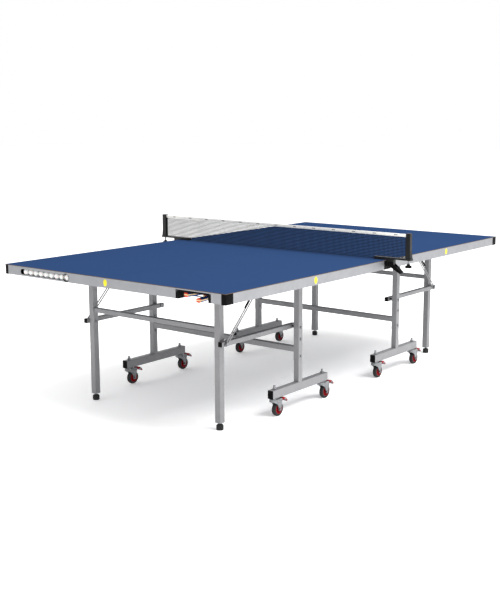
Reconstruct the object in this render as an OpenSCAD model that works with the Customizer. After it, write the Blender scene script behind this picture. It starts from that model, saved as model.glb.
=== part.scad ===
// Folding table-tennis table: two rolling halves that meet under a clamped net.
// Frame: origin on the floor at the middle of the net line, X along the table, Y across, Z up.
// Half A lies on the -X side. Half B is the same half turned 180 degrees about Z.

/* [Playing top] */
// Length of the whole top, end to end
table_l = 2740; // [2600:10:2800]
// Width of the top
table_w = 1525; // [1500:5:1530]
// Height of the playing surface
surface_h = 760; // [755:1:765]
// Thickness of the playing board
board_t = 16; // [12:1:16]
// Gap between the two boards at the net
seam = 3; // [2:0.5:6]

/* [Apron] */
// Height of the board edge left showing above the apron
edge_t = 3; // [2:0.5:5]
// Lowest level of the apron
apron_z = 709; // [700:1:715]
// Sheet thickness of the apron
apron_t = 2; // [1.5:0.5:3]
// Length of an outer corner cap along the side
cap_side_l = 52; // [30:1:60]
// Length of an outer corner cap along the end
cap_end_l = 26; // [15:1:30]
// Length of an inner corner cap along the side
cap_inner_l = 31; // [20:1:40]

/* [Legs and posts] */
// Side of the square leg and post tubes
leg_w = 35; // [30:1:36]
// Wall of the square tubes
wall = 2; // [1.5:0.5:3]
// Outer corner radius of the square tubes
corner_r = 3; // [2:0.5:4]
// Distance of the legs from the net line
leg_x = 1044; // [1030:1:1050]
// Distance of the legs from the middle of the table
leg_y = 444.5; // [440:0.5:444.5]
// Distance of the posts from the net line
post_x = 502; // [495:1:510]
// Distance of the posts from the middle of the table
post_y = 527; // [527:0.5:527]
// Height of the pivots under the top
pivot_z = 722; // [720:1:723]
// Height of the pivots of the rails
rail_z = 440; // [430:1:450]
// Side of the rail tubes and the frame tubes
rail_w = 25; // [22:1:25]
// Width of a slotted brace
brace_w = 19; // [16:1:22]

/* [Base] */
// Inner and outer ends of a caster beam, from the net line
beam_x = [248, 741];
// Bottom and top of a caster beam
beam_z = [101, 146];
// Stem positions of the casters, from the net line
caster_x = [278, 708];
// Diameter of a caster wheel
wheel_d = 75; // [70:1:76]
// Width of a caster tyre
tyre_w = 24; // [20:1:25]
// Distance of the wheel axle behind the stem
trail = 26; // [22:1:28]

/* [Net] */
// Height of the net above the playing surface
net_h = 152.5; // [150:0.5:153]
// Distance of a net post from the middle of the table
net_post_y = 893; // [885:1:900]

/* [Balls and paddles] */
// Diameter of a ball
ball_d = 40; // [38:1:40]
// Number of balls in the holder
balls_n = 9; // [1:1:9]
// Y of the ball outlet, in half A
outlet_y = 283; // [280:1:290]
// Middle of the paddle pocket, in half A
pocket_y = -569.5; // [-575:0.5:-565]
// Clear width between the cheeks of the pocket
pocket_w = 181; // [175:1:185]

/* [Hidden] */
$fn = 64;

half_l = table_l / 2;
half_w = table_w / 2;
board_z = surface_h - board_t;
edge_z = surface_h - edge_t;
apron_in = 0.5;
apron_x = half_l - apron_in;
apron_y = half_w - apron_in;
lip_w = 18;
inset = 5.3;
inner_x = seam / 2;
cap_t = 5;
plug_t = 3;
gap = 0.3;

// The ball channel in half A: its ends, its depth behind the end, and the height of its balls
tray_y = [outlet_y - 25, outlet_y + (balls_n - 1) * ball_d + 42];
tray_d = 47;
ball_z = 731;
ball_r = ball_d / 2 - 0.2;
ring_r = 21.6;

// Net posts: the arm over the table edge, and the pivot of the clamp beside the apron
arm_z = 766;
arm_t = 9;
arm_in = 682;
clamp_r = 11;
clamp_y = half_w + 25;
clamp_z = 740;

// Layers across the table, measured from its middle, from the leg outwards
leg_out = leg_y + leg_w / 2;
rail_in = leg_out + 1.5;
rail_out = rail_in + rail_w;
brace_in = rail_out + 1.5;
brace_out = brace_in + 3;
ear_in = brace_out + 7;
ear_out = ear_in + 3;
post_in = post_y - leg_w / 2;
post_out = post_y + leg_w / 2;
long_in = post_out + 2.5;
long_out = long_in + rail_w;

// The brace meets the top as far from the leg pivot as the rail meets the leg
drop = pivot_z - rail_z;
brace_x = leg_x - drop;
brace_l = drop * sqrt(2);
post_top = pivot_z + 8;
leg_top = pivot_z + 5.5;
slot_x = 13.7;
latch_at = [135, -15.2];
latch_r = 5;
latch_l = 52;
latch_run_r = 3.02;
latch_pin_r = 2.95;
foot_gap = 37;
bolt_r = 3.95;
run_r = 4.03;
slide_r = 3;
slot_r = 3.3;
knob_r = 9;
pin_r = 5;
pin_run_r = 5.08;
stem_r = 6;
stem_run_r = 6.08;
axle_r = 4;
axle_run_r = 4.06;
wheel_r = wheel_d / 2;
hub_r = 25;
fork_top = beam_z[0] - gap;

silver = [0.76, 0.77, 0.79];
zinc = [0.66, 0.68, 0.70];
steel = [0.60, 0.61, 0.62];
black = [0.07, 0.07, 0.07];
red = [0.72, 0.07, 0.08];
blue = [0.235, 0.345, 0.53];
white = [0.95, 0.95, 0.94];

// Half B is half A turned about Z.
module half(name) {
    rotate([0, 0, name == "a" ? 0 : 180]) children();
}

// Draws its child on the -Y side and mirrored on the +Y side.
module both_sides() {
    children();
    mirror([0, 1, 0]) children();
}

// A box given by its two opposite corners.
module box(low, high) {
    translate(low) cube(high - low);
}

// A cylinder along +Y from y0 to y1 through the point x, z.
module rod(x, z, y0, y1, r, sides = $fn) {
    translate([x, y1, z]) rotate([90, 0, 0]) cylinder(r = r, h = y1 - y0, $fn = sides);
}

// A square with rounded corners, centred.
module rounded_square(w, r) {
    square([w, w - 2 * r], center = true);
    square([w - 2 * r, w], center = true);
    for (x = [-1, 1], y = [-1, 1]) {
        translate([x * (w / 2 - r), y * (w / 2 - r)]) circle(r = r, $fn = 32);
    }
}

// The section of a rolled square tube.
module tube_section(w, t = wall) {
    difference() {
        rounded_square(w, corner_r);
        square(w - 2 * t, center = true);
    }
}

// A square tube along X, from its low corner.
module tube_x(x0, x1, y0, z0, w) {
    translate([x0, y0 + w / 2, z0 + w / 2]) rotate([90, 0, 90]) linear_extrude(x1 - x0) tube_section(w);
}

// A square tube along Y, from its low corner.
module tube_y(y0, y1, x0, z0, w) {
    translate([x0 + w / 2, y1, z0 + w / 2]) rotate([90, 0, 0]) linear_extrude(y1 - y0) tube_section(w);
}

// A square tube along Z, centred on x, y.
module tube_z(x, y, z0, z1, w) {
    translate([x, y, z0]) linear_extrude(z1 - z0) tube_section(w);
}

// A rounded plug plate for the end of a tube along X.
module plug_x(x0, x1, y, z, w) {
    translate([x0, y, z]) rotate([90, 0, 90]) linear_extrude(x1 - x0) rounded_square(w, corner_r);
}

// The playing board: a full-size face layer on a core that sits inside the apron.
module board() {
    color(blue) {
        box([-half_l, -half_w, edge_z], [-inner_x, half_w, surface_h]);
        difference() {
            box([-half_l + inset, -half_w + inset, board_z], [-inner_x - inset, half_w - inset, edge_z]);
            box([-half_l, tray_y[0] - 3, board_z - 1], [-half_l + tray_d + 4, tray_y[1] + 3, edge_z]);
        }
    }
}

// One side of the apron: a sheet with an inward lip at the bottom.
module apron_side() {
    x0 = -half_l + cap_side_l + gap;
    x1 = -inner_x - cap_inner_l - gap;
    box([x0, -apron_y, apron_z], [x1, -apron_y + apron_t, edge_z]);
    box([x0, -apron_y, apron_z], [x1, -apron_y + lip_w, apron_z + apron_t]);
}

// The end of the apron, with the ball slot, the round ball outlet and the paddle opening.
module apron_end() {
    y_end = half_w - cap_end_l - gap;
    mouth_r = 14.5;
    slot_y1 = outlet_y + (balls_n - 1) * ball_d + 18;
    difference() {
        union() {
            box([-apron_x, -y_end, apron_z], [-apron_x + apron_t, y_end, edge_z]);
            box([-apron_x, -y_end, apron_z], [-apron_x + lip_w, y_end, apron_z + apron_t]);
        }
        box([-half_l - 1, outlet_y, ball_z - mouth_r], [-apron_x + 3, slot_y1, ball_z + mouth_r]);
        rod_x(-half_l - 1, -apron_x + 3, slot_y1, ball_z, mouth_r);
        rod_x(-half_l - 1, -apron_x + 3, outlet_y, ball_z, ring_r);
        box([-half_l - 1, pocket_y - pocket_w / 2 - 16, apron_z - 1],
            [-apron_x + lip_w + 1, pocket_y + pocket_w / 2 + 16, 752]);
    }
}

module apron() {
    color(silver) {
        both_sides() apron_side();
        apron_end();
    }
}

// Plastic corner pieces: two at the end and two at the net.
module corner_caps() {
    z0 = apron_z - 1;
    color(black) both_sides() {
        box([-half_l, -half_w, z0], [-half_l + cap_side_l, -half_w + cap_t, edge_z]);
        box([-half_l, -half_w, z0], [-half_l + cap_t, -half_w + cap_end_l, edge_z]);
        box([-half_l, -half_w, z0], [-half_l + cap_side_l, -half_w + cap_end_l, z0 + 3]);
        box([-inner_x - cap_inner_l, -half_w, z0], [-inner_x, -half_w + cap_t, edge_z]);
        box([-inner_x - cap_t, -half_w, z0], [-inner_x, -half_w + cap_end_l, edge_z - 17]);
    }
}

// A plate that holds a pivot, in the XZ plane: round at the pivot and square at the board.
module ear(x, y0, y1, r, hole) {
    difference() {
        union() {
            rod(x, pivot_z, y0, y1, r);
            box([x - r, y0, pivot_z], [x + r, y1, board_z]);
        }
        rod(x, pivot_z, y0 - 1, y1 + 1, hole);
    }
}

// Steel frame under the board, with the ears of the leg and brace pivots.
module subframe() {
    tube_z0 = board_z - rail_w;
    cross_x = -leg_x - 50;
    color(zinc) {
        both_sides() {
            difference() {
                tube_x(cross_x, -40, -long_out, tube_z0, rail_w);
                rod(-post_x, pivot_z, -long_out - 1, -long_in + 1, pin_r);
            }
            ear(-leg_x, -leg_out - 4.5, -leg_out - 0.5, 13, run_r);
            ear(-leg_x, -leg_out + leg_w + 0.5, -leg_out + leg_w + 4.5, 13, run_r);
            box([cross_x + 5, -leg_out - 4.5, board_z - 3], [-leg_x + 13, -leg_out + leg_w + 4.5, board_z]);
            ear(-brace_x, -ear_out, -ear_in, 12, bolt_r);
            box([-brace_x - 20, -long_in - 5, board_z - 3], [-brace_x + 20, -ear_in, board_z]);
            rod(-brace_x, pivot_z, -ear_out - 2, -brace_in - 0.2, bolt_r);
            rod(-post_x, pivot_z, -long_out - 3, -post_in + 1.5, pin_r);
            rod(-post_x, pivot_z, -post_in + 1.5, -post_in + 5.5, 9, 6);
        }
        tube_y(-long_in, long_in, cross_x, tube_z0, rail_w);
        box([-40, -long_in, board_z - 4], [-10, long_in, board_z]);
    }
}

// The black ball channel behind the end apron, its outlet ring, and the paddle pocket.
module end_holders() {
    front = -apron_x + apron_t;
    back = -half_l + tray_d;
    y0 = tray_y[0];
    y1 = tray_y[1];
    cheek = 16;
    cheek_x = -half_l + 257;
    low_y = pocket_y - pocket_w / 2;
    high_y = pocket_y + pocket_w / 2;
    color(black) {
        // Channel with floor, back and two ends
        box([-apron_x + lip_w, y0 - 2, apron_z], [back, y1 + 2, apron_z + apron_t]);
        box([back - 2, y0 - 2, apron_z], [back, y1 + 2, edge_z]);
        box([front, y0 - 2, apron_z + apron_t], [back, y0, edge_z]);
        box([front, y1, apron_z + apron_t], [back, y1 + 2, edge_z]);
        // Ring round the outlet
        difference() {
            rod_x(-half_l, -apron_x + apron_t, outlet_y, ball_z, ring_r);
            rod_x(-half_l - 1, -apron_x + 3, outlet_y, ball_z, ring_r - 1.2);
        }
        // Cheeks of the pocket, its lintel and the ledges that carry the paddles
        for (s = [-1, 1]) {
            c = pocket_y + s * (pocket_w / 2 + cheek / 2);
            box([-apron_x, c - cheek / 2, apron_z], [cheek_x, c + cheek / 2, board_z]);
        }
        box([cheek_x - 3, low_y, apron_z], [cheek_x, high_y, board_z]);
        box([-apron_x, low_y, board_z - 0.5], [-half_l + inset, high_y, 752]);
        for (d = [110, 180]) {
            box([-half_l + d, low_y, 704.5], [-half_l + d + 6, high_y, 708]);
        }
        box([-half_l + 150, low_y, 722.5], [-half_l + 200, low_y + 34, 726]);
        box([-half_l + 150, high_y - 8, 722.5], [-half_l + 200, high_y, 726]);
    }
}

// The two posts, the beam between them, and their bolts.
module uprights() {
    lower_w = leg_w - 2;
    splice_z = 263;
    beam_w = 30;
    beam_bottom = 305;
    spacer_r = 8;
    nut_r = 6.5;
    head_r = 7;
    bolt_z = [376, 285];
    color(silver) both_sides() {
        difference() {
            tube_z(-post_x, -post_y, splice_z, post_top, leg_w);
            rod(-post_x, pivot_z, -post_out - 1, -post_in + 1, pin_run_r);
            rod(-post_x, rail_z, -post_out - 1, -post_in + 1, bolt_r);
        }
        tube_z(-post_x, -post_y, beam_z[1], splice_z, lower_w);
    }
    color(zinc) tube_y(-post_in, post_in, -post_x - beam_w / 2, beam_bottom, beam_w);
    color(steel) both_sides() {
        // Bolt of the rail pivot, with its spacer
        rod(-post_x, rail_z, -post_out, -rail_in + 0.7, bolt_r);
        difference() {
            rod(-post_x, rail_z, -post_in, -rail_out - gap, spacer_r);
            rod(-post_x, rail_z, -post_in - 1, -rail_out + 1, bolt_r);
        }
        rod(-post_x, rail_z, -rail_in + 0.3, -rail_in + 4.3, nut_r, 6);
        for (z = concat(rail_z, bolt_z)) {
            rod(-post_x, z, -post_out - 5, -post_out, head_r, 6);
        }
        for (z = bolt_z) {
            rod(-post_x, z, -post_in, -post_in + 4.5, nut_r, 6);
        }
    }
}

// A length of the caster beam's section on the -Y side, smaller by t on each side.
module beam_block(x0, x1, t) {
    y = (post_out - post_in) / 2;
    z = (beam_z[1] - beam_z[0]) / 2;
    r = t > 0 ? 1 : corner_r;
    translate([x0, -post_y, beam_z[0] + z]) rotate([90, 0, 90]) linear_extrude(x1 - x0) {
        square([2 * (y - t), 2 * (z - t - r)], center = true);
        square([2 * (y - t - r), 2 * (z - t)], center = true);
        for (a = [-1, 1], b = [-1, 1]) {
            translate([a * (y - t - r), b * (z - t - r)]) circle(r = r, $fn = 32);
        }
    }
}

// The two beams that carry the casters, with their end plugs.
module base_beams() {
    h = beam_z[1] - beam_z[0];
    both_sides() {
        color(silver) difference() {
            beam_block(-beam_x[1] + plug_t, -beam_x[0] - plug_t, 0);
            beam_block(-beam_x[1] - 1, -beam_x[0] + 1, wall);
            for (x = caster_x) {
                translate([-x, -post_y, beam_z[0] - 1]) cylinder(r = stem_run_r, h = h + 2);
            }
        }
        color(black) {
            beam_block(-beam_x[1], -beam_x[1] + plug_t, 0);
            beam_block(-beam_x[0] - plug_t, -beam_x[0], 0);
        }
    }
}

// The U-shaped leg frame: two legs, a crossbar and the plugs that take the feet.
module leg_frame() {
    bar_z = 490;
    plug_z = foot_gap + 4;
    color(silver) {
        both_sides() {
            difference() {
                tube_z(-leg_x, -leg_y, plug_z, leg_top, leg_w);
                rod(-leg_x, pivot_z, -leg_out - 1, -leg_out + leg_w + 1, 4);
                rod(-leg_x, rail_z, -leg_out - 1, -leg_out + leg_w + 1, slide_r);
            }
        }
        tube_y(-leg_out + leg_w, leg_out - leg_w, -leg_x - rail_w / 2, bar_z, rail_w);
    }
    color(black) both_sides() difference() {
        union() {
            translate([-leg_x, -leg_y, foot_gap]) linear_extrude(4) rounded_square(leg_w, corner_r);
            translate([-leg_x, -leg_y, plug_z]) linear_extrude(26) {
                square(leg_w - 2 * wall, center = true);
            }
        }
        translate([-leg_x, -leg_y, foot_gap - 1]) cylinder(r = run_r, h = 40);
    }
}

// Rails between the posts and the legs, with their end plugs.
module rails() {
    x0 = -leg_x - 31;
    x1 = -post_x + 27;
    both_sides() {
        color(silver) difference() {
            tube_x(x0 + plug_t, x1 - plug_t, -rail_out, rail_z - rail_w / 2, rail_w);
            rod(-leg_x, rail_z, -rail_out - 1, -rail_in + 1, slot_r);
            rod(-post_x, rail_z, -rail_out - 1, -rail_in + 1, run_r);
        }
        color(black) for (x = [x0, x1 - plug_t]) {
            plug_x(x, x + plug_t, -(rail_in + rail_out) / 2, rail_z, rail_w);
        }
    }
}

// The outline of a brace, from its pivot at the top to past the rail pivot.
module brace_outline() {
    r = brace_w / 2;
    difference() {
        union() {
            circle(r = r);
            translate([0, -r]) square([brace_l + 6, brace_w]);
            translate([brace_l + 6, 0]) circle(r = r);
            translate(latch_at) circle(r = latch_r);
            translate([latch_at[0] - latch_r, latch_at[1]]) square([2 * latch_r, -latch_at[1]]);
        }
        circle(r = run_r);
        translate([slot_x, 0]) circle(r = slot_r);
        translate([slot_x, -slot_r]) square([brace_l - slot_x, 2 * slot_r]);
        translate([brace_l, 0]) circle(r = slot_r);
        translate(latch_at) circle(r = latch_run_r);
    }
}

// Places a flat outline along a brace: its own x runs from the pivot at the top to the rail pivot.
module on_brace(y, t) {
    translate([-brace_x, -y, pivot_z]) rotate([90, 0, 0]) rotate([0, 0, 225]) linear_extrude(t) children();
}

module braces() {
    color(zinc) both_sides() on_brace(brace_in, 3) brace_outline();
}

// Spring latches beside the slots of the braces, each a lever on its pin.
module latches() {
    color(black) both_sides() {
        on_brace(brace_out + gap, 6) difference() {
            union() {
                translate(latch_at) circle(r = latch_r);
                translate([latch_at[0], latch_at[1] - latch_r]) square([latch_l, 2 * latch_r]);
                translate([latch_at[0] + latch_l, latch_at[1]]) circle(r = latch_r);
            }
            translate(latch_at) circle(r = latch_pin_r - 0.05);
        }
        on_brace(brace_in - 0.5, 9.8) translate(latch_at) circle(r = latch_pin_r);
    }
}

// Bolts that turn with the leg frame: at the top of the legs and through the rails.
module pivot_bolts() {
    color(steel) both_sides() {
        rod(-leg_x, pivot_z, -leg_out - 6, -leg_out + leg_w + 6, bolt_r);
        rod(-leg_x, pivot_z, -leg_out - 9, -leg_out - 4.8, 7, 6);
        rod(-leg_x, pivot_z, -leg_out + leg_w + 4.8, -leg_out + leg_w + 9, 7, 6);
        rod(-leg_x, rail_z, -brace_out - 1, -leg_out + leg_w + 3, slide_r);
        rod(-leg_x, rail_z, -brace_out - 5.5, -brace_out - gap, knob_r);
        rod(-leg_x, rail_z, -leg_out + leg_w, -leg_out + leg_w + 5, 7, 6);
    }
}

// Moves its child to a caster stem: 1 and 2 on the -Y side, 3 and 4 on the +Y side, 1 and 3 nearest the net.
module at_caster(side, n) {
    x = caster_x[(n - 1) % 2] * (side == "a" ? -1 : 1);
    translate([x, n > 2 ? post_y : -post_y, 0]) children();
}

// One cheek of the fork, seen from the side.
module fork_outline() {
    difference() {
        union() {
            translate([trail, wheel_r]) circle(r = 10);
            polygon([
                [-19, 95], [40, 95], [47, 89], [46, 77], [trail + 10, wheel_r], [trail - 10, wheel_r],
                [trail - 13, 54], [4, 68], [-10, 76], [-19, 79]
            ]);
        }
        translate([38, 84]) circle(r = 2.5);
    }
}

module caster_fork(side, n) {
    cheek_in = 15;
    at_caster(side, n) {
        color(zinc) {
            for (y = [-cheek_in, cheek_in + 3]) {
                translate([0, y, 0]) rotate([90, 0, 0]) linear_extrude(3) fork_outline();
            }
            difference() {
                translate([0, 0, 81]) cylinder(r = 25.5, h = 15);
                translate([0, 0, 80]) cylinder(r = 23, h = 13);
                box([8, -cheek_in, 80], [30, cheek_in, 92]);
            }
            translate([0, 0, 96]) cylinder(r = 20, h = fork_top - 96);
            rod(trail, wheel_r, -cheek_in - 3, cheek_in + 3, axle_r);
        }
        color(steel) {
            translate([0, 0, fork_top]) cylinder(r = stem_r, h = 67);
            translate([0, 0, beam_z[1] + gap]) cylinder(r = 9.5, h = 9, $fn = 6);
            rod(38, 84, -cheek_in - 4, cheek_in + 4, 2.5);
            for (y = [-cheek_in - 8, cheek_in + 3]) {
                rod(trail, wheel_r, y, y + 5, 6.5, 6);
            }
        }
    }
}

// A wheel: a tyre on a dished hub.
module caster_wheel(side, n) {
    at_caster(side, n) translate([trail, 0, wheel_r]) rotate([90, 0, 0]) {
        color(black) rotate_extrude() polygon([
            [hub_r, -tyre_w / 2 + 1], [wheel_r - 5, -tyre_w / 2], [wheel_r - 1.5, -tyre_w / 2 + 3],
            [wheel_r, -tyre_w / 2 + 7], [wheel_r, tyre_w / 2 - 7], [wheel_r - 1.5, tyre_w / 2 - 3],
            [wheel_r - 5, tyre_w / 2], [hub_r, tyre_w / 2 - 1]
        ]);
        color(red) rotate_extrude() polygon([
            [axle_run_r, -13.5], [9, -13.5], [10, -5], [20, -4], [21, -11], [hub_r - 0.1, -11],
            [hub_r - 0.1, 11], [21, 11], [20, 4], [10, 5], [9, 13.5], [axle_run_r, 13.5]
        ]);
    }
}

// The brake pedal: a foot plate on a pivot, with a shoe above the tyre.
module brake_pedal(side, n) {
    at_caster(side, n) color(red) {
        difference() {
            union() {
                rotate([90, 0, 0]) translate([0, 0, -14.3]) linear_extrude(28.6) union() {
                    translate([38, 84]) circle(r = 5.5);
                    polygon([[36, 80], [52, 83], [52, 88.5], [36, 89.5]]);
                    polygon([[33.5, 80], [36, 74.4], [41, 74.4], [43, 82]]);
                }
                rotate([90, 0, 0]) translate([0, 0, -16]) linear_extrude(32) polygon([
                    [50, 82], [68, 83], [80, 77], [86, 68], [91, 68.5], [92, 73], [85, 83], [76, 89.5],
                    [68, 93.5], [54, 94.5], [50, 92]
                ]);
            }
            rod(38, 84, -20, 20, 2.56);
        }
    }
}

// Levelling feet at the bottoms of the legs.
module levelling_foot(side, n) {
    foot_r = 18.5;
    half(side) translate([-leg_x, n == 1 ? -leg_y : leg_y, 0]) {
        color(black) {
            cylinder(r1 = foot_r - 1.5, r2 = foot_r, h = 3);
            translate([0, 0, 3]) cylinder(r = foot_r, h = 20);
            translate([0, 0, 23]) cylinder(r1 = foot_r, r2 = foot_r - 5, h = 5);
        }
        color(steel) translate([0, 0, 28]) cylinder(r = bolt_r, h = 34);
    }
}

// The net, as one thin closed solid.
module net() {
    inner = net_post_y - 13.2;
    bottom = surface_h + 4;
    color(white) difference() {
        box([-1, -inner, bottom], [1, inner, surface_h + net_h - 4]);
        both_sides() box([-2, -inner - 1, bottom - 1], [2, -arm_in + 2, arm_z + arm_t + gap]);
    }
}

// One net post with its arm over the table edge and the clamp body beside the apron.
module net_post() {
    top = surface_h + net_h;
    y_out = net_post_y + 20;
    clamp_in = half_w + 1;
    color(black) {
        difference() {
            union() {
                box([-11, -net_post_y - 13, arm_z + arm_t], [11, -net_post_y + 13, top]);
                rotate([90, 0, 90]) translate([0, 0, -11]) linear_extrude(22) polygon([
                    [-y_out, arm_z + arm_t], [-net_post_y, arm_z + arm_t], [-net_post_y, arm_z + 60],
                    [-net_post_y - 13, arm_z + 52], [-y_out + 3, arm_z + 17]
                ]);
            }
            translate([0, -net_post_y, arm_z]) cylinder(r = 6.5, h = net_h - 40);
        }
        difference() {
            box([-14, -y_out, arm_z], [14, -arm_in, arm_z + arm_t]);
            translate([0, -net_post_y, arm_z - 1]) cylinder(r = 4.08, h = 11);
        }
        box([-12, -756, surface_h + gap], [12, -arm_in - 2, arm_z]);
        difference() {
            box([-clamp_r, -clamp_in - 44, arm_z - 40], [clamp_r, -clamp_in, arm_z]);
            rod_x(-19, 19, -clamp_y, clamp_z, 4.06);
        }
    }
}

// A cylinder along X.
module rod_x(x0, x1, y, z, r, sides = $fn) {
    translate([x0, y, z]) rotate([0, 90, 0]) cylinder(r = r, h = x1 - x0, $fn = sides);
}

module net_posts() {
    both_sides() net_post();
}

// The lever that closes a clamp. side is -1 for the right one and 1 for the left.
module clamp_lever(side) {
    cheek_in = clamp_r + 0.4;
    cheek_out = cheek_in + 4;
    mirror([0, side > 0 ? 1 : 0, 0]) color(black) translate([0, -clamp_y, clamp_z]) {
        rod_x(-cheek_out, cheek_out, 0, 0, 4);
        rotate([35, 0, 0]) {
            for (x = [-cheek_out, cheek_in]) {
                difference() {
                    union() {
                        rod_x(x, x + 4, 0, 0, 13);
                        rotate([90, 0, 90]) translate([0, 0, x]) linear_extrude(4)
                            polygon([[0, -13], [0, 13], [-74, 7], [-74, -6]]);
                    }
                    rod_x(x - 1, x + 5, 0, 0, 3.9);
                }
            }
            rotate([90, 0, 90]) translate([0, 0, -cheek_out]) linear_extrude(2 * cheek_out)
                polygon([[-36, 4], [-36, 9.8], [-72, 7], [-80, 2], [-80, -4], [-74, -6], [-70, 1]]);
        }
    }
}

// The knob under a net post, with the screw that sets the height of the net.
module height_knob(side) {
    mirror([0, side > 0 ? 1 : 0, 0]) translate([0, -net_post_y, 0]) {
        color(black) difference() {
            union() {
                translate([0, 0, 726]) cylinder(r = 18, h = 12);
                translate([0, 0, 738]) cylinder(r = 9, h = 9);
            }
            for (k = [0:11]) {
                rotate([0, 0, 30 * k]) translate([20, 0, 725]) cylinder(r = 3.6, h = 14, $fn = 24);
            }
            translate([0, 0, 725]) cylinder(r = 4, h = 30);
        }
        color(steel) translate([0, 0, 726]) cylinder(r = 4, h = 127);
    }
}

// Balls resting in the channel of half A.
module balls() {
    x = -half_l + ball_r + 0.5;
    color(white) for (k = [0:balls_n - 1]) {
        translate([x, outlet_y + k * ball_d, ball_z]) sphere(r = ball_r);
    }
}

// A paddle lying flat, handle towards -X, turned about its blade.
module paddle(z, handle_y, turn) {
    reach = 172;
    blade_r = 75;
    blade_x = -half_l + 4 + reach * cos(turn);
    blade_y = handle_y + reach * sin(turn);
    translate([blade_x, blade_y, z]) rotate([0, 0, turn]) {
        color(red) {
            translate([0, 0, -4.5]) cylinder(r = blade_r, h = 9);
        }
        color(white) difference() {
            translate([-reach, -14, -11]) cube([100, 28, 22]);
            translate([0, 0, -4.5]) cylinder(r = blade_r, h = 9);
        }
    }
}

module paddles() {
    paddle(731, -522, -11);
    paddle(713, -598, 8);
}

half("a") board();  // board_a
half("b") board();  // board_b
half("a") apron();  // apron_a
half("b") apron();  // apron_b
half("a") corner_caps();  // corner_caps_a
half("b") corner_caps();  // corner_caps_b
half("a") subframe();  // subframe_a
half("b") subframe();  // subframe_b
half("a") end_holders();  // end_holders_a
half("b") end_holders();  // end_holders_b
half("a") uprights();  // uprights_a
half("b") uprights();  // uprights_b
half("a") base_beams();  // base_beams_a
half("b") base_beams();  // base_beams_b
half("a") leg_frame();  // leg_frame_a
half("b") leg_frame();  // leg_frame_b
half("a") rails();  // rails_a
half("b") rails();  // rails_b
half("a") braces();  // braces_a
half("b") braces();  // braces_b
half("a") latches();  // latches_a
half("b") latches();  // latches_b
half("a") pivot_bolts();  // pivot_bolts_a
half("b") pivot_bolts();  // pivot_bolts_b
caster_fork("a", 1);  // caster_fork_a1
caster_fork("a", 2);  // caster_fork_a2
caster_fork("a", 3);  // caster_fork_a3
caster_fork("a", 4);  // caster_fork_a4
caster_fork("b", 1);  // caster_fork_b1
caster_fork("b", 2);  // caster_fork_b2
caster_fork("b", 3);  // caster_fork_b3
caster_fork("b", 4);  // caster_fork_b4
caster_wheel("a", 1);  // caster_wheel_a1
caster_wheel("a", 2);  // caster_wheel_a2
caster_wheel("a", 3);  // caster_wheel_a3
caster_wheel("a", 4);  // caster_wheel_a4
caster_wheel("b", 1);  // caster_wheel_b1
caster_wheel("b", 2);  // caster_wheel_b2
caster_wheel("b", 3);  // caster_wheel_b3
caster_wheel("b", 4);  // caster_wheel_b4
brake_pedal("a", 1);  // brake_pedal_a1
brake_pedal("a", 2);  // brake_pedal_a2
brake_pedal("a", 3);  // brake_pedal_a3
brake_pedal("a", 4);  // brake_pedal_a4
brake_pedal("b", 1);  // brake_pedal_b1
brake_pedal("b", 2);  // brake_pedal_b2
brake_pedal("b", 3);  // brake_pedal_b3
brake_pedal("b", 4);  // brake_pedal_b4
levelling_foot("a", 1);  // levelling_foot_a1
levelling_foot("a", 2);  // levelling_foot_a2
levelling_foot("b", 1);  // levelling_foot_b1
levelling_foot("b", 2);  // levelling_foot_b2
net();
net_posts();
clamp_lever(-1);  // clamp_lever_right
clamp_lever(1);  // clamp_lever_left
height_knob(-1);  // height_knob_right
height_knob(1);  // height_knob_left
balls();
paddles();
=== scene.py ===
"""Table-tennis table: the looks of a folding table in two rolling halves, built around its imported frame."""

import math

import bmesh
import bpy
from bpy.props import FloatProperty, FloatVectorProperty, IntProperty, PointerProperty
from bpy.types import Operator, Panel, PropertyGroup
from mathutils import Matrix, Vector


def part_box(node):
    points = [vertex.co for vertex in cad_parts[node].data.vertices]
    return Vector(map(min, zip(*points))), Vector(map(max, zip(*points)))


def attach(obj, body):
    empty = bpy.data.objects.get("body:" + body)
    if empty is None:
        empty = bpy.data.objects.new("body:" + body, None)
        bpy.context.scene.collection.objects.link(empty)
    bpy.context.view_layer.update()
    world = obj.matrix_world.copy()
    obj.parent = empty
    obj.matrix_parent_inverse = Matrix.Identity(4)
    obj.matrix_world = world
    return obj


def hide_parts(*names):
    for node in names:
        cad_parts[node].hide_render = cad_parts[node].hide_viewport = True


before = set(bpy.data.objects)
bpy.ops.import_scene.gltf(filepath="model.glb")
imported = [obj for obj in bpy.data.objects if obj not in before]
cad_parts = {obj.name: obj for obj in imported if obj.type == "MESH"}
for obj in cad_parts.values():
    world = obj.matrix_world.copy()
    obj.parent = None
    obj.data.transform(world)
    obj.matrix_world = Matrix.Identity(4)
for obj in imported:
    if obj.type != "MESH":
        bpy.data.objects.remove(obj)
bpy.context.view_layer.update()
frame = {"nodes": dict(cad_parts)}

bl_info = {
    "name": "Table-tennis table",
    "version": (1, 0, 0),
    "blender": (4, 5, 0),
    "location": "3D View > Sidebar > Table",
    "description": "Finishes and fine pieces of a folding table-tennis table",
    "category": "Object",
}

NODES = frame["nodes"]
MM = 0.001
HALVES = ("a", "b")
SIDES = (-1, 1)

BOARD_LOW, BOARD_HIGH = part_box("board_a")
SURFACE_Z = BOARD_HIGH.z / MM
HALF_L = -BOARD_LOW.x / MM
HALF_W = BOARD_HIGH.y / MM
EDGE_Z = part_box("apron_a")[1].z / MM
APRON_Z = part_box("apron_a")[0].z / MM
NET_LOW, NET_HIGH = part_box("net")
POSTS_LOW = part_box("net_posts")[0]

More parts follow.
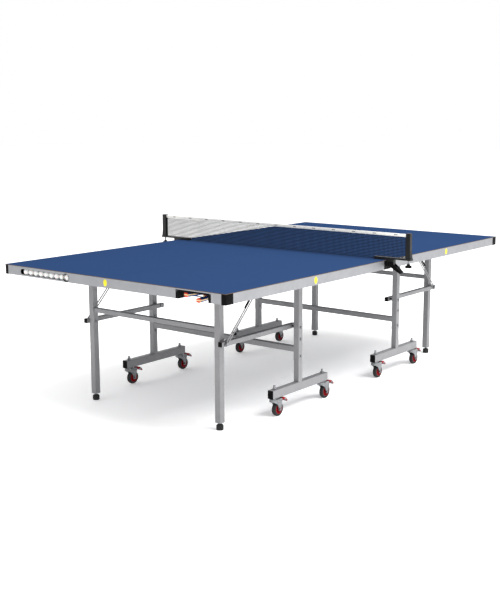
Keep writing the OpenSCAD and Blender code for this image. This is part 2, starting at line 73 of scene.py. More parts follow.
# Sizes of the CAD model that its boxes don't give, in millimetres
CAP_SIDE, CAP_END, CAP_INNER = 52, 26, 31
SEAM = 1.5
OUTLET_Y, RING_R = 283, 21.6
TRAY_Y = (262, 640)
BOLT_Z = (440, 376, 285)
POST_IN, POST_OUT = 509.5, 544.5
PLUG_T = 3.1
TRAIL = 26


def srgb(red, green, blue):
    """A colour as a screen shows it, from 0 to 255, as the linear colour that shaders use."""
    def linear(c):
        c /= 255
        return c / 12.92 if c <= 0.04045 else ((c + 0.055) / 1.055) ** 2.4
    return linear(red), linear(green), linear(blue)


# ---------------------------------------------------------------- shapes, in millimetres


def slab(bm, low, high, rounding=0.0, segments=2):
    """A block between two corners, with its edges rounded."""
    low, high = Vector(low), Vector(high)
    made = bmesh.ops.create_cube(bm, size=1.0)["verts"]
    bmesh.ops.scale(bm, vec=high - low, verts=made)
    bmesh.ops.translate(bm, vec=(low + high) / 2, verts=made)
    if rounding:
        edges = list({e for v in made for e in v.link_edges})
        made = bmesh.ops.bevel(
            bm, geom=edges, offset=rounding, segments=segments, profile=0.5,
            affect="EDGES", material=-1, clamp_overlap=True)["verts"]
    return made


def drum(bm, start, end, radius, end_radius=None, segments=32, rounding=0.0):
    """A cylinder or cone between two points, with its rims rounded."""
    start, end = Vector(start), Vector(end)
    along = end - start
    turn = Vector((0, 0, 1)).rotation_difference(along).to_matrix().to_4x4()
    made = bmesh.ops.create_cone(
        bm, cap_ends=True, segments=segments, radius1=radius,
        radius2=radius if end_radius is None else end_radius, depth=along.length,
        matrix=Matrix.Translation((start + end) / 2) @ turn)["verts"]
    if rounding:
        rims = [e for e in {e for v in made for e in v.link_edges} if len(e.link_faces) == 2
                and any(len(f.verts) > 4 for f in e.link_faces)]
        bmesh.ops.bevel(bm, geom=rims, offset=rounding, segments=2, profile=0.5,
                        affect="EDGES", material=-1, clamp_overlap=True)
    return made


def lathe(bm, outline, centre, axis="y", steps=48):
    """A closed outline of (radius, along) points turned about an axis through centre."""
    centre = Vector(centre)
    across = {"y": Vector((1, 0, 0)), "x": Vector((0, 0, 1)), "z": Vector((1, 0, 0))}[axis]
    along = {"y": Vector((0, 1, 0)), "x": Vector((1, 0, 0)), "z": Vector((0, 0, 1))}[axis]
    ring = [bm.verts.new(centre + across * r + along * a) for r, a in outline]
    edges = [bm.edges.new((ring[i - 1], ring[i])) for i in range(len(ring))]
    bmesh.ops.spin(bm, geom=ring + edges, cent=centre, axis=along, angle=math.tau,
                   steps=steps, use_merge=True, use_duplicate=False)


def turned(bm, verts, angle, axis, centre):
    """Turns these vertices about an axis through centre."""
    bmesh.ops.rotate(bm, verts=verts, cent=centre, matrix=Matrix.Rotation(angle, 3, axis))


def mirrored_side(bm, side):
    """Moves a shape that was built on the -Y side to the +Y side when side is 1."""
    if side > 0:
        bmesh.ops.scale(bm, vec=(1, -1, 1), verts=bm.verts)


def append(bm, part):
    """Adds a part to bm and frees the part."""
    mesh = bpy.data.meshes.new("part")
    part.to_mesh(mesh)
    part.free()
    bm.from_mesh(mesh)
    bpy.data.meshes.remove(mesh)


def half_turn(bm, half):
    """Turns a shape that was built in half A to where half B has it."""
    if half == "b":
        bmesh.ops.rotate(bm, verts=bm.verts, cent=(0, 0, 0), matrix=Matrix.Rotation(math.pi, 3, "Z"))


def piece(name, bm, body, materials, replaces=(), smooth=35.0):
    """Turns a shape in millimetres into a finished piece that rides on a CAD body."""
    bmesh.ops.remove_doubles(bm, verts=bm.verts, dist=0.001)
    bmesh.ops.recalc_face_normals(bm, faces=bm.faces)
    bmesh.ops.scale(bm, vec=(MM, MM, MM), verts=bm.verts)
    mesh = bpy.data.meshes.new(name)
    bm.to_mesh(mesh)
    bm.free()
    obj = bpy.data.objects.new(name, mesh)
    bpy.context.scene.collection.objects.link(obj)
    for material in materials if isinstance(materials, (list, tuple)) else [materials]:
        mesh.materials.append(material)
    mesh.shade_smooth()
    mesh.set_sharp_from_angle(angle=math.radians(smooth))
    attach(obj, body)
    if replaces:
        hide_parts(*replaces)
    return obj


def finish_node(name, *rules):
    """Gives a CAD node its finishes: (material,) for all of it, then (material, test).

    A test reads the centre of a face, in millimetres, and its normal.
    """
    mesh = NODES[name].data
    mesh.materials.clear()
    for rule in rules:
        mesh.materials.append(rule[0])
    for face in mesh.polygons:
        face.material_index = 0
        for index, rule in enumerate(rules[1:], 1):
            if rule[1](face.center / MM, face.normal):
                face.material_index = index


# ---------------------------------------------------------------- materials


class Finish:
    """A material that is put together from an object-space pattern and one surface shader."""

    def __init__(self, name, colour, roughness, metallic=0.0, specular=0.5):
        self.material = bpy.data.materials.get(name) or bpy.data.materials.new(name)
        self.material.use_nodes = True
        self.tree = self.material.node_tree
        self.tree.nodes.clear()
        self.shader = self.tree.nodes.new("ShaderNodeBsdfPrincipled")
        output = self.tree.nodes.new("ShaderNodeOutputMaterial")
        self.link(self.shader.outputs[0], output.inputs["Surface"])
        self.place = self.tree.nodes.new("ShaderNodeTexCoord").outputs["Object"]
        self.colour = tuple(colour)
        self.set("Base Color", (*self.colour, 1))
        self.set("Roughness", roughness)
        self.set("Metallic", metallic)
        self.set("Specular IOR Level", specular)
        self.bump = None

    def set(self, socket, value):
        self.shader.inputs[socket].default_value = value

    def link(self, source, target):
        self.tree.links.new(source, target)

    def node(self, kind, **values):
        made = self.tree.nodes.new("ShaderNode" + kind)
        for key, value in values.items():
            if key in made.inputs:
                made.inputs[key].default_value = value
            else:
                setattr(made, key, value)
        return made

    def stretched(self, scale):
        """Object coordinates scaled differently along each axis."""
        mapping = self.node("Mapping", Scale=scale)
        self.link(self.place, mapping.inputs["Vector"])
        return mapping.outputs[0]

    def noise(self, scale, detail=3.0, rough=0.5, stretch=None):
        made = self.node("TexNoise", Scale=scale, Detail=detail, Roughness=rough)
        self.link(self.stretched(stretch) if stretch else self.place, made.inputs["Vector"])
        return made.outputs["Fac"]

    def between(self, value, low, high, low_at=0.3, high_at=0.7):
        """A value turned into the range low to high."""
        made = self.node("MapRange", clamp=True)
        for key, number in (("From Min", low_at), ("From Max", high_at), ("To Min", low), ("To Max", high)):
            made.inputs[key].default_value = number
        self.link(value, made.inputs["Value"])
        return made.outputs[0]

    def mixed(self, factor, first, second):
        """Two colours mixed by a factor. Either may be a socket."""
        made = self.node("Mix", data_type="RGBA")
        self.link(factor, made.inputs["Factor"])
        for socket, value in ((made.inputs[6], first), (made.inputs[7], second)):
            if isinstance(value, bpy.types.NodeSocket):
                self.link(value, socket)
            else:
                socket.default_value = (*value, 1)
        return made.outputs[2]

    def math(self, operation, first, second):
        made = self.node("Math", operation=operation)
        for socket, value in zip(made.inputs, (first, second)):
            if isinstance(value, bpy.types.NodeSocket):
                self.link(value, socket)
            else:
                socket.default_value = value
        return made.outputs[0]

    def axis(self, name):
        """One of the object coordinates."""
        made = self.node("SeparateXYZ")
        self.link(self.place, made.inputs[0])
        return made.outputs[name]

    def shade(self, value):
        return tuple(min(1.0, c * value) for c in self.colour)

    def mottled(self, scale, low, high, detail=3.0, stretch=None):
        """The colour varies between low and high times itself."""
        value = self.between(self.noise(scale, detail, stretch=stretch), 0.0, 1.0)
        out = self.mixed(value, self.shade(low), self.shade(high))
        self.link(out, self.shader.inputs["Base Color"])
        return out

    def rough(self, scale, low, high, stretch=None):
        value = self.between(self.noise(scale, 4.0, stretch=stretch), low, high)
        self.link(value, self.shader.inputs["Roughness"])

    def grain(self, height, distance, strength=0.4):
        """A bump from a height, above the bumps given before."""
        made = self.node("Bump", Strength=strength, Distance=distance)
        self.link(height, made.inputs["Height"])
        if self.bump:
            self.link(self.bump, made.inputs["Normal"])
        self.bump = made.outputs[0]
        self.link(self.bump, self.shader.inputs["Normal"])


def coated_steel(name, colour, metallic=0.15):
    """Powder-coated tube and sheet: a fine orange peel and faint streaks."""
    f = Finish(name, colour, 0.42, metallic=metallic, specular=0.35)
    f.mottled(14.0, 0.96, 1.03)
    f.rough(40.0, 0.36, 0.5)
    f.grain(f.noise(900.0, 2.0), 0.0002, 0.25)
    return f.material


def plated_steel(name, colour):
    """Zinc-plated steel: cloudy spangle and fine drawing lines."""
    f = Finish(name, colour, 0.34, metallic=0.85)
    f.mottled(60.0, 0.7, 1.15, 4.0)
    f.rough(120.0, 0.2, 0.36)
    f.grain(f.noise(500.0, 3.0, stretch=(1.0, 1.0, 0.15)), 0.0002, 0.3)
    return f.material


def moulded(name, colour, roughness=0.5):
    """Grained injection-moulded plastic."""
    f = Finish(name, colour, roughness, specular=0.03)
    f.mottled(30.0, 0.85, 1.15)
    f.rough(80.0, roughness - 0.08, roughness + 0.1)
    pits = f.node("TexVoronoi", Scale=1400.0)
    f.link(f.place, pits.inputs["Vector"])
    f.grain(pits.outputs["Distance"], 0.0001, 0.35)
    return f.material


def rubber(name, colour):
    """Dull rubber with a dusty bloom."""
    f = Finish(name, colour, 0.75, specular=0.3)
    f.mottled(45.0, 0.8, 1.5)
    f.rough(60.0, 0.65, 0.85)
    f.grain(f.noise(1200.0, 2.0), 0.0002, 0.4)
    return f.material


def playing_face(name, colour):
    """Matt rolled paint with a faint centre line."""
    f = Finish(name, colour, 0.6, specular=0.0)
    body = f.mixed(f.between(f.noise(2.0, 4.0), 0.0, 1.0), f.shade(0.985), f.shade(1.015))
    across = f.math("ABSOLUTE", f.axis("Y"), 0.0)
    line = f.between(across, 1.0, 0.0, 0.0013, 0.0018)
    f.link(f.mixed(f.math("MULTIPLY", line, 0.55), body, f.shade(0.62)), f.shader.inputs["Base Color"])
    f.rough(9.0, 0.56, 0.64)
    f.grain(f.noise(700.0, 3.0, 0.6), 0.0002, 0.3)
    return f.material


def fibreboard(name, colour):
    """The bare edge of the board: pressed fibres in layers."""
    f = Finish(name, colour, 0.8, specular=0.2)
    f.mottled(240.0, 0.75, 1.2, 5.0, stretch=(1.0, 1.0, 4.0))
    f.grain(f.noise(900.0, 4.0, stretch=(1.0, 1.0, 5.0)), 0.0004, 0.5)
    return f.material


def net_yarn(name, colour):
    """Twisted yarn."""
    f = Finish(name, colour, 0.8, specular=0.08)
    f.mottled(300.0, 0.7, 1.4)
    twist = f.node("TexWave", Scale=500.0, Distortion=2.0)
    f.link(f.place, twist.inputs["Vector"])
    f.grain(twist.outputs["Fac"], 0.0003, 0.6)
    return f.material


def tape_canvas(name, colour):
    """Woven cotton tape, its yarns about half a millimetre apart."""
    f = Finish(name, colour, 0.85, specular=0.2)
    f.mottled(60.0, 0.9, 1.04)
    along = f.node("TexWave", Scale=300.0, bands_direction="Y")
    up = f.node("TexWave", Scale=300.0, bands_direction="Z")
    for wave in (along, up):
        f.link(f.place, wave.inputs["Vector"])
    f.grain(f.math("MULTIPLY", along.outputs["Fac"], up.outputs["Fac"]), 0.0003, 0.5)
    f.set("Sheen Weight", 0.2)
    return f.material


def celluloid(name, colour):
    """A matt ball, slightly see-through to light."""
    f = Finish(name, colour, 0.38, specular=0.5)
    f.mottled(80.0, 0.97, 1.02)
    f.rough(200.0, 0.34, 0.44)
    f.grain(f.noise(1500.0, 2.0), 0.0001, 0.2)
    f.set("Subsurface Weight", 0.15)
    f.set("Subsurface Scale", 0.004)
    return f.material


def wood(name, colour):
    """Pale plywood with its grain along X."""
    f = Finish(name, colour, 0.55, specular=0.3)
    f.mottled(60.0, 0.72, 1.12, 6.0, stretch=(1.0, 8.0, 8.0))
    f.rough(60.0, 0.45, 0.65, stretch=(1.0, 8.0, 8.0))
    f.grain(f.noise(200.0, 5.0, stretch=(1.0, 10.0, 10.0)), 0.0002, 0.4)
    return f.material


def painted_board_back(name, colour):
    """The sealed underside of the board."""
    f = Finish(name, colour, 0.7, specular=0.3)
    f.mottled(5.0, 0.85, 1.1, 5.0)
    f.grain(f.noise(300.0, 4.0), 0.0002, 0.3)
    return f.material


def make_materials(colours):
    """Every finish of the table, by name."""
    return {
        "face": playing_face("playing_face", colours.face),
        "edge": fibreboard("board_edge", colours.board_edge),
        "back": painted_board_back("board_back", colours.board_back),
        "apron": coated_steel("apron_silver", colours.apron, metallic=0.7),
        "frame": coated_steel("frame_silver", colours.frame),
        "plated": plated_steel("plated_steel", colours.plated),
        "bolt": plated_steel("bolt_steel", colours.bolt),
        "black": moulded("black_moulded", colours.black, 0.48),
        "liner": moulded("channel_grey", colours.liner, 0.5),
        "black_metal": coated_steel("black_coated", colours.black),
        "red": moulded("red_moulded", colours.red, 0.38),
        "rubber": rubber("tyre_rubber", colours.rubber),
        "yarn": net_yarn("net_yarn", colours.yarn),
        "tape": tape_canvas("net_tape", colours.tape),
        "mark": moulded("tape_mark", colours.mark, 0.6),
        "ball": celluloid("ball_shell", colours.ball),
        "wood": wood("paddle_ply", colours.wood),
        "paddle_red": rubber("paddle_red_rubber", colours.paddle_red),
        "butt_red": moulded("butt_red", colours.butt_red, 0.4),
        "handle_blue": moulded("handle_blue", colours.handle_blue, 0.4),
        "badge": moulded("badge_yellow", colours.badge, 0.35),
    }


def colour_property(name, description, red, green, blue):
    return FloatVectorProperty(name=name, description=description, subtype="COLOR",
                               default=srgb(red, green, blue), min=0.0, max=1.0)


class TableColours(PropertyGroup):
    """The colours of the table's finishes."""
    face: colour_property("Playing face", "Paint of the playing face", 34, 53, 85)
    board_edge: colour_property("Board edge", "Bare edge of the board", 80, 66, 54)
    board_back: colour_property("Board underside", "Sealed underside of the board", 70, 74, 84)
    apron: colour_property("Apron", "Coating of the apron", 139, 140, 143)
    frame: colour_property("Frame", "Coating of the tubes", 124, 124, 126)
    plated: colour_property("Plated steel", "Caster forks and pedals", 124, 126, 128)
    bolt: colour_property("Bolts", "Bolts, nuts and pins", 116, 118, 121)
    black: colour_property("Black", "Black plastic and coating", 13, 13, 14)
    liner: colour_property("Ball channel", "Grey plastic of the ball channel", 150, 151, 154)
    red: colour_property("Red", "Hubs and brake pedals", 132, 20, 26)
    rubber: colour_property("Tyres", "Rubber of tyres and feet", 30, 30, 31)
    yarn: colour_property("Net yarn", "Yarn of the net", 16, 16, 18)
    tape: colour_property("Net tape", "Tape along the top of the net", 226, 224, 218)
    mark: colour_property("Tape marks", "Plain marks on the tape", 70, 70, 74)
    ball: colour_property("Balls", "Shell of the balls", 212, 212, 210)
    wood: colour_property("Paddle wood", "Plywood of the paddles", 222, 196, 150)
    paddle_red: colour_property("Paddle rubber", "Red rubber of the paddles", 176, 34, 30)
    butt_red: colour_property("Paddle butts", "Red ends of the handles", 196, 70, 50)
    handle_blue: colour_property("Paddle handles", "Blue of the paddle handles", 36, 58, 110)
    badge: colour_property("Badges", "Plain badges on the apron", 214, 204, 60)


class TableNet(PropertyGroup):
    """Sizes of the net."""
    pitch: FloatProperty(name="Mesh size", description="Distance from one yarn to the next",
                         default=0.008, min=0.0075, max=0.0125, unit="LENGTH")
    yarn: FloatProperty(name="Yarn", description="Thickness of a yarn", default=0.0026,
                        min=0.0008, max=0.003, unit="LENGTH")
    tape_height: FloatProperty(name="Tape", description="Height of the tape along the top",
                               default=0.0165, min=0.01, max=0.02, unit="LENGTH")
    marks: IntProperty(name="Marks", description="Plain marks along the tape", default=13, min=0, max=20)


class TableStage(PropertyGroup):
    """Light of the studio."""
    key: FloatProperty(name="Key light", description="Power of the key light", default=1150.0, min=0.0,
                       unit="POWER")
    sky: FloatProperty(name="Sky", description="Strength of the even light", default=1.0, min=0.0)


def colours():
    return bpy.context.scene.table_colours


def finishes():
    """The materials, made once and then shared."""
    if not finishes.made:
        finishes.made = make_materials(colours())
    return finishes.made


finishes.made = {}


# ---------------------------------------------------------------- pieces


class TABLE_OT_boards(Operator):
    """Paint the two playing boards and seal their edges and undersides"""
    bl_idname = "table.boards"
    bl_label = "Boards"

    def execute(self, context):
        m = finishes()
        for half in HALVES:
            finish_node(
                "board_" + half, (m["back"],),
                (m["edge"], lambda c, n: c.z > EDGE_Z - 0.5 and n.z < 0.5),
                (m["face"], lambda c, n: n.z > 0.5 and c.z > SURFACE_Z - 0.1))
        return {"FINISHED"}


class TABLE_OT_aprons(Operator):
    """Coat the aprons and put a plain badge on each visible face"""
    bl_idname = "table.aprons"
    bl_label = "Aprons"

    def execute(self, context):
        m = finishes()
        middle = (APRON_Z + EDGE_Z) / 2
        badge_x, badge_r = -680, 12
        for half in HALVES:
            finish_node("apron_" + half, (m["apron"],))
            bm = bmesh.new()
            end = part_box("apron_a")[0].x / MM
            made = drum(bm, (end + 0.2, 0, 0), (end - 0.4, 0, 0), badge_r, segments=40)
            for side in SIDES:
                face = side * (HALF_W - 0.5)
                made += drum(bm, (badge_x, face - side * 0.2, 0), (badge_x, face + side * 0.4, 0),
                             badge_r, segments=40)
            bmesh.ops.scale(bm, vec=(1, 1, 1.45), verts=made)
            bmesh.ops.translate(bm, vec=(0, 0, middle + 1), verts=made)
            half_turn(bm, half)
            piece("plain_badges_" + half, bm, "top_" + half, m["badge"])
        return {"FINISHED"}


class TABLE_OT_corner_caps(Operator):
    """Mould the black corner pieces"""
    bl_idname = "table.corner_caps"
    bl_label = "Corner caps"

    def execute(self, context):
        m = finishes()
        for half in HALVES:
            bm = bmesh.new()
            low = APRON_Z - 1
            for side in SIDES:
                part = bmesh.new()
                slab(part, (-HALF_L, -HALF_W, low), (-HALF_L + CAP_SIDE, -HALF_W + CAP_END, EDGE_Z - 0.2))
                corner = [e for e in part.edges if all(
                    v.co.x < -HALF_L + 1 and v.co.y < -HALF_W + 1 for v in e.verts)]
                bmesh.ops.bevel(part, geom=corner, offset=7, segments=6, profile=0.5,
                                affect="EDGES", material=-1)
                rims = [e for e in part.edges if abs(e.verts[0].co.z - e.verts[1].co.z) < 0.1]
                bmesh.ops.bevel(part, geom=rims, offset=1, segments=2, profile=0.5,
                                affect="EDGES", material=-1)
                slab(part, (-SEAM - CAP_INNER, -HALF_W, low), (-SEAM, -HALF_W + 5, EDGE_Z - 0.2), 1)
                slab(part, (-SEAM - 5, -HALF_W + 4, low), (-SEAM, -HALF_W + 22, EDGE_Z - 17), 1)
                mirrored_side(part, side)
                append(bm, part)
            half_turn(bm, half)
            piece("corner_pieces_" + half, bm, "top_" + half, m["black"],
                  replaces=["corner_caps_" + half])
        return {"FINISHED"}


class TABLE_OT_frames(Operator):
    """Finish the frames under the boards, the posts, the beams, the legs, the rails and the braces"""
    bl_idname = "table.frames"
    bl_label = "Frames"

    def execute(self, context):
        m = finishes()
        rail_low, rail_high = (abs(v.x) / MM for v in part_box("rails_a"))
        beam_low, beam_high = (abs(v.x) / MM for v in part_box("base_beams_a"))
        for half in HALVES:
            finish_node("subframe_" + half, (m["frame"],))
            sign = 1 if half == "a" else -1
            finish_node("end_holders_" + half, (m["black"],),
                        (m["liner"], lambda c, n, sign=sign: TRAY_Y[0] < sign * c.y < TRAY_Y[1] and not (
                            abs(c.x) > HALF_L - 4.5 and abs(sign * c.y - OUTLET_Y) < RING_R + 0.5)))
            finish_node(
                "uprights_" + half, (m["frame"],),
                (m["bolt"], lambda c, n: abs(c.y) > POST_OUT + 0.1
                 or abs(c.y) < POST_IN - 0.1 and any(abs(c.z - z) < 10 for z in BOLT_Z)))
            finish_node(
                "base_beams_" + half, (m["frame"],),
                (m["black"], lambda c, n: abs(c.x) > beam_low - PLUG_T or abs(c.x) < beam_high + PLUG_T))
            finish_node("leg_frame_" + half, (m["frame"],), (m["black"], lambda c, n: c.z < 41.1))
            finish_node(
                "rails_" + half, (m["frame"],),
                (m["black"], lambda c, n: abs(c.x) > rail_low - PLUG_T or abs(c.x) < rail_high + PLUG_T))
            finish_node("braces_" + half, (m["frame"],))
            finish_node("pivot_bolts_" + half, (m["bolt"],))
            finish_node("latches_" + half, (m["black"],))
        return {"FINISHED"}


class TABLE_OT_casters(Operator):
    """Build the tyres and hubs, and finish the forks, pedals and feet"""
    bl_idname = "table.casters"
    bl_label = "Casters and feet"

    def execute(self, context):
        m = finishes()
        tip_x, cap_x, cap_z = 84, (49, 74), 85
        for half in HALVES:
            for number in "1234":
                name = half + number
                self.wheel(name, m)
                finish_node("caster_fork_" + name, (m["plated"],))
                stem = sum(v.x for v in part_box("caster_wheel_" + name)) / 2 / MM - TRAIL
                finish_node(
                    "brake_pedal_" + name, (m["plated"],),
                    (m["red"], lambda c, n, stem=stem: c.x - stem > tip_x
                     or cap_x[0] < c.x - stem < cap_x[1] and c.z > cap_z))
            for number in "12":
                self.foot(half + number, m)
        return {"FINISHED"}

    def foot(self, name, m):
        """A ribbed foot on a threaded stud."""
        node = "levelling_foot_" + name
        low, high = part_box(node)
        centre = (low + high) / 2 / MM
        centre.z = 0
        radius = (high.x - low.x) / 2 / MM
        bm = bmesh.new()
        groove = radius - 1.2
        lathe(bm, [(0.0, 0), (radius - 1.5, 0), (radius, 2), (radius, 5), (groove, 6), (groove, 8),
                   (radius, 9), (radius, 22), (radius - 1, 24), (radius - 5, 28), (0.0, 28)], centre, "z")
        piece("foot_" + name, bm, node, m["rubber"], replaces=[node])
        bm = bmesh.new()
        outline = [(0.0, 27.9)]
        for turn in range(17):
            outline += [(3.1, 28 + 2 * turn), (3.9, 29 + 2 * turn)]
        lathe(bm, outline + [(3.1, 62), (0.0, 62)], centre, "z", 24)
        piece("stud_" + name, bm, node, m["bolt"])

    def wheel(self, name, m):
        """A tyre with rounded shoulders on a spoked hub."""
        low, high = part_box("caster_wheel_" + name)
        centre = (low + high) / 2 / MM
        radius = (high.z - low.z) / 2 / MM
        rim = 25.0
        bm = bmesh.new()
        lathe(bm, [(rim, -11), (radius - 6, -12), (radius - 2, -10), (radius - 0.3, -6), (radius, 0),
                   (radius - 0.3, 6), (radius - 2, 10), (radius - 6, 12), (rim, 11)], centre, steps=64)
        piece("tyre_" + name, bm, "caster_wheel_" + name, m["rubber"],
              replaces=["caster_wheel_" + name])
        bm = bmesh.new()
        lathe(bm, [(4.2, -13.4), (9, -13.4), (9.5, -6), (20.5, -5), (21.5, -11), (rim, -11),
                   (rim, 11), (21.5, 11), (20.5, 5), (9.5, 6), (9, 13.4), (4.2, 13.4)], centre)
        for spoke in range(6):
            made = slab(bm, (centre.x + 8, centre.y - 9.5, centre.z - 1.2),
                        (centre.x + 22, centre.y + 9.5, centre.z + 1.2), 0.5)
            turned(bm, made, math.tau * spoke / 6, "Y", centre)
        piece("hub_" + name, bm, "caster_wheel_" + name, m["red"])


class TABLE_OT_net(Operator):
    """Knot the net between its posts and sew the tape along its top"""
    bl_idname = "table.net"
    bl_label = "Net"

    def execute(self, context):
        m = finishes()
        size = context.scene.table_net
        low, high = NET_LOW / MM, NET_HIGH / MM
        pitch, yarn, tape_h = size.pitch / MM, size.yarn / MM, size.tape_height / MM
        top = high.z - tape_h + 2
        # The net ends above the arms of the posts, and between them below that
        arm_top, arm_reach = POSTS_LOW.z / MM + 50, 679
        columns = round((high.y - low.y) / pitch)
        rows = round((top - low.z) / pitch)
        step_y = (high.y - low.y) / columns
        step_z = (top - low.z) / rows
        bm = bmesh.new()
        for i in range(columns + 1):
            y = low.y + i * step_y
            bottom = low.z if abs(y) < arm_reach else arm_top
            drum(bm, (-0.3, y, bottom), (-0.3, y, top), yarn / 2, segments=6)
        for k in range(rows + 1):
            z = low.z + k * step_z
            reach = high.y if z > arm_top else arm_reach
            drum(bm, (0.3, -reach, z), (0.3, reach, z), yarn / 2, segments=6)
        cloth = piece("net_mesh", bm, "net_set", m["yarn"], replaces=["net"])
        bm = bmesh.new()
        slab(bm, (-1.4, low.y, high.z - tape_h), (1.4, high.y, high.z), 0.9, 3)
        tape = piece("net_tape", bm, "net_set", m["tape"])
        bm = bmesh.new()
        span = high.y - low.y
        for i in range(size.marks):
            y = low.y + span * (i + 0.5) / size.marks
            z = high.z - tape_h / 2
            slab(bm, (-1.6, y - 11, z - 2), (1.6, y + 11, z + 2), 0.1)
        marks = piece("tape_marks", bm, "net_set", m["mark"])
        return {"FINISHED"}


class TABLE_OT_net_posts(Operator):
    """Finish the net posts, the clamp levers and the height knobs"""
    bl_idname = "table.net_posts"
    bl_label = "Net posts"

    def execute(self, context):
        m = finishes()
        finish_node("net_posts", (m["black_metal"],))
        for side in ("right", "left"):
            finish_node("clamp_lever_" + side, (m["black"],))
            finish_node("height_knob_" + side, (m["black"],),
                        (m["bolt"], lambda c, n: c.z > 756.5))
        return {"FINISHED"}


class TABLE_OT_balls(Operator):
    """Mould the balls in a row"""
    bl_idname = "table.balls"
    bl_label = "Balls"

    def execute(self, context):
        m = finishes()
        low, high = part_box("balls")
        low, high = low / MM, high / MM
        radius = (high.z - low.z) / 2
        count = round((high.y - low.y) / (2 * radius))
        bm = bmesh.new()
        for i in range(count):
            y = low.y + radius + (high.y - low.y - 2 * radius) * i / (count - 1)
            matrix = Matrix.Translation(((low.x + high.x) / 2, y, (low.z + high.z) / 2))
            bmesh.ops.create_uvsphere(bm, u_segments=40, v_segments=24, radius=radius, matrix=matrix)
        piece("ball_row", bm, "top_a", m["ball"], replaces=["balls"])
        return {"FINISHED"}


class TABLE_OT_paddles(Operator):
    """Build the two paddles: ply blades, rubbers and split handles"""
    bl_idname = "table.paddles"
    bl_label = "Paddles"

    def execute(self, context):
        m = finishes()
        for number, (z, handle_y, turn) in enumerate(((731, -522, -11), (713, -598, 8)), 1):
            self.paddle(number, z, handle_y, math.radians(turn), m, replaces=number == 1)
        return {"FINISHED"}

    def paddle(self, number, z, handle_y, turn, m, replaces):
        reach, blade_r, grip_r = 172, 75, 14
        x = -HALF_L + 4 + reach * math.cos(turn)
        y = handle_y + reach * math.sin(turn)
        place = Matrix.Translation((x, y, z)) @ Matrix.Rotation(turn, 4, "Z")
        bm = bmesh.new()
        drum(bm, (0, 0, -3), (0, 0, 3), blade_r, segments=72, rounding=0.6)
        slab(bm, (-reach + 1, -13.4, -3.1), (-60, 13.4, 3.1), 0.8)
        bmesh.ops.transform(bm, matrix=place, verts=bm.verts)
        piece(f"paddle_ply_{number}", bm, "paddles", m["wood"],
              replaces=["paddles"] if replaces else ())
        bm = bmesh.new()
        for low in (-4.5, 3.05):
            drum(bm, (0, 0, low), (0, 0, low + 1.45), blade_r - 1, segments=72)
        bmesh.ops.bisect_plane(bm, geom=bm.verts[:] + bm.edges[:] + bm.faces[:],
                               plane_co=(-63, 0, 0), plane_no=(-1, 0, 0), clear_outer=True)
        bmesh.ops.holes_fill(bm, edges=bm.edges)
        bmesh.ops.transform(bm, matrix=place, verts=bm.verts)
        piece(f"paddle_rubber_{number}", bm, "paddles", m["paddle_red"])
        for name, start, end, finish in (("handle", -reach + 7, -70, "handle_blue"),
                                         ("butt", -reach, -reach + 6.9, "butt_red")):
            bm = bmesh.new()
            for side in SIDES:
                half = bmesh.new()
                drum(half, (start, 0, 0), (end, 0, 0), grip_r, segments=40, rounding=1.0)
                bmesh.ops.scale(half, vec=(1, 1, 11 / grip_r), verts=half.verts)
                cut = bmesh.ops.bisect_plane(
                    half, geom=half.verts[:] + half.edges[:] + half.faces[:], plane_co=(0, 0, side * 3.15),
                    plane_no=(0, 0, side), clear_inner=True)["geom_cut"]
                bmesh.ops.edgeloop_fill(half, edges=[e for e in cut if isinstance(e, bmesh.types.BMEdge)])
                append(bm, half)
            bmesh.ops.transform(bm, matrix=place, verts=bm.verts)
            piece(f"paddle_{name}_{number}", bm, "paddles", m[finish])


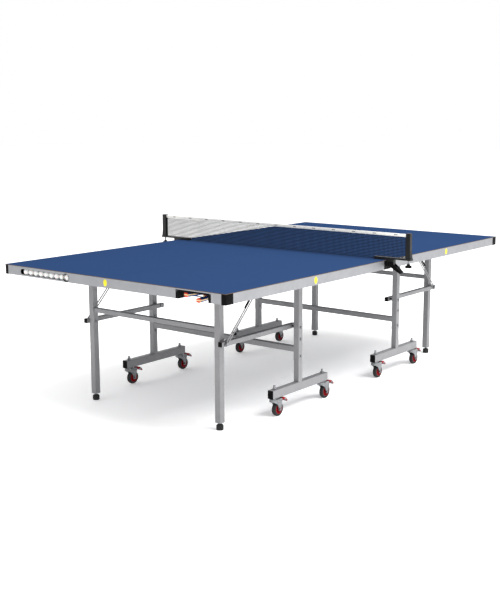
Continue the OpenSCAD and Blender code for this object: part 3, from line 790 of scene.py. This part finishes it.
class TABLE_OT_stage(Operator):
    """Lay the floor and set the lights and the camera"""
    bl_idname = "table.stage"
    bl_label = "Stage"

    def execute(self, context):
        scene = context.scene
        stage = scene.table_stage
        scene.view_settings.view_transform = "Standard"
        scene.view_settings.look = "None"
        floor_finish = Finish("studio_floor", (0.92, 0.92, 0.92), 0.7, specular=0.1)
        floor_finish.mottled(1.5, 0.99, 1.0)
        floor_finish.set("Emission Color", (1.0, 1.0, 1.0, 1.0))
        floor_finish.set("Emission Strength", 0.26)
        bm = bmesh.new()
        bmesh.ops.create_grid(bm, x_segments=1, y_segments=1, size=40.0)
        mesh = bpy.data.meshes.new("floor")
        bm.to_mesh(mesh)
        bm.free()
        mesh.materials.append(floor_finish.material)
        floor = bpy.data.objects.new("floor", mesh)
        scene.collection.objects.link(floor)
        world = bpy.data.worlds.new("studio")
        world.use_nodes = True
        background = world.node_tree.nodes["Background"]
        background.inputs["Color"].default_value = (1.0, 1.0, 1.0, 1.0)
        background.inputs["Strength"].default_value = stage.sky
        scene.world = world
        self.lamp(scene, "key", stage.key, 7.0, (0.3, -3.6, 7.2))
        self.lamp(scene, "fill", stage.key * 0.03, 5.0, (-5.0, 2.0, 5.0))
        camera = bpy.data.cameras.new("camera")
        camera.lens = 60.07
        camera.sensor_width = 36.0
        camera.shift_x = -0.0315
        camera.shift_y = -0.0213
        camera.clip_end = 200.0
        view = bpy.data.objects.new("camera", camera)
        view.location = (-4.677, -3.545, 1.520)
        heading, tilt = math.radians(37.57), math.radians(-9.58)
        level = math.cos(tilt)
        look = Vector((level * math.cos(heading), level * math.sin(heading), math.sin(tilt)))
        view.rotation_euler = look.to_track_quat("-Z", "Y").to_euler()
        scene.collection.objects.link(view)
        scene.camera = view
        return {"FINISHED"}

    def lamp(self, scene, name, power, size, place):
        light = bpy.data.lights.new(name, "AREA")
        light.energy = power
        light.shape = "DISK"
        light.size = size
        lamp = bpy.data.objects.new(name, light)
        lamp.location = place
        lamp.rotation_euler = (Vector((0, 0, 0.6)) - Vector(place)).to_track_quat("-Z", "Y").to_euler()
        scene.collection.objects.link(lamp)


OPERATORS = (
    TABLE_OT_boards, TABLE_OT_aprons, TABLE_OT_corner_caps, TABLE_OT_frames, TABLE_OT_casters,
    TABLE_OT_net, TABLE_OT_net_posts, TABLE_OT_balls, TABLE_OT_paddles, TABLE_OT_stage,
)


class TABLE_PT_table(Panel):
    """The steps that finish the table, in order"""
    bl_label = "Table-tennis table"
    bl_space_type = "VIEW_3D"
    bl_region_type = "UI"
    bl_category = "Table"

    def draw(self, context):
        for operator in OPERATORS:
            self.layout.operator(operator.bl_idname)
        for group in (context.scene.table_colours, context.scene.table_net, context.scene.table_stage):
            box = self.layout.box()
            for name in group.__annotations__:
                box.prop(group, name)


GROUPS = (TableColours, TableNet, TableStage)


def register():
    for cls in (*GROUPS, *OPERATORS, TABLE_PT_table):
        bpy.utils.register_class(cls)
    bpy.types.Scene.table_colours = PointerProperty(type=TableColours)
    bpy.types.Scene.table_net = PointerProperty(type=TableNet)
    bpy.types.Scene.table_stage = PointerProperty(type=TableStage)


def unregister():
    del bpy.types.Scene.table_stage
    del bpy.types.Scene.table_net
    del bpy.types.Scene.table_colours
    for cls in reversed((*GROUPS, *OPERATORS, TABLE_PT_table)):
        bpy.utils.unregister_class(cls)


def main():
    """Builds every piece in order."""
    register()
    for operator in OPERATORS:
        group, name = operator.bl_idname.split(".")
        getattr(getattr(bpy.ops, group), name)()


if __name__ == "__main__":
    main()
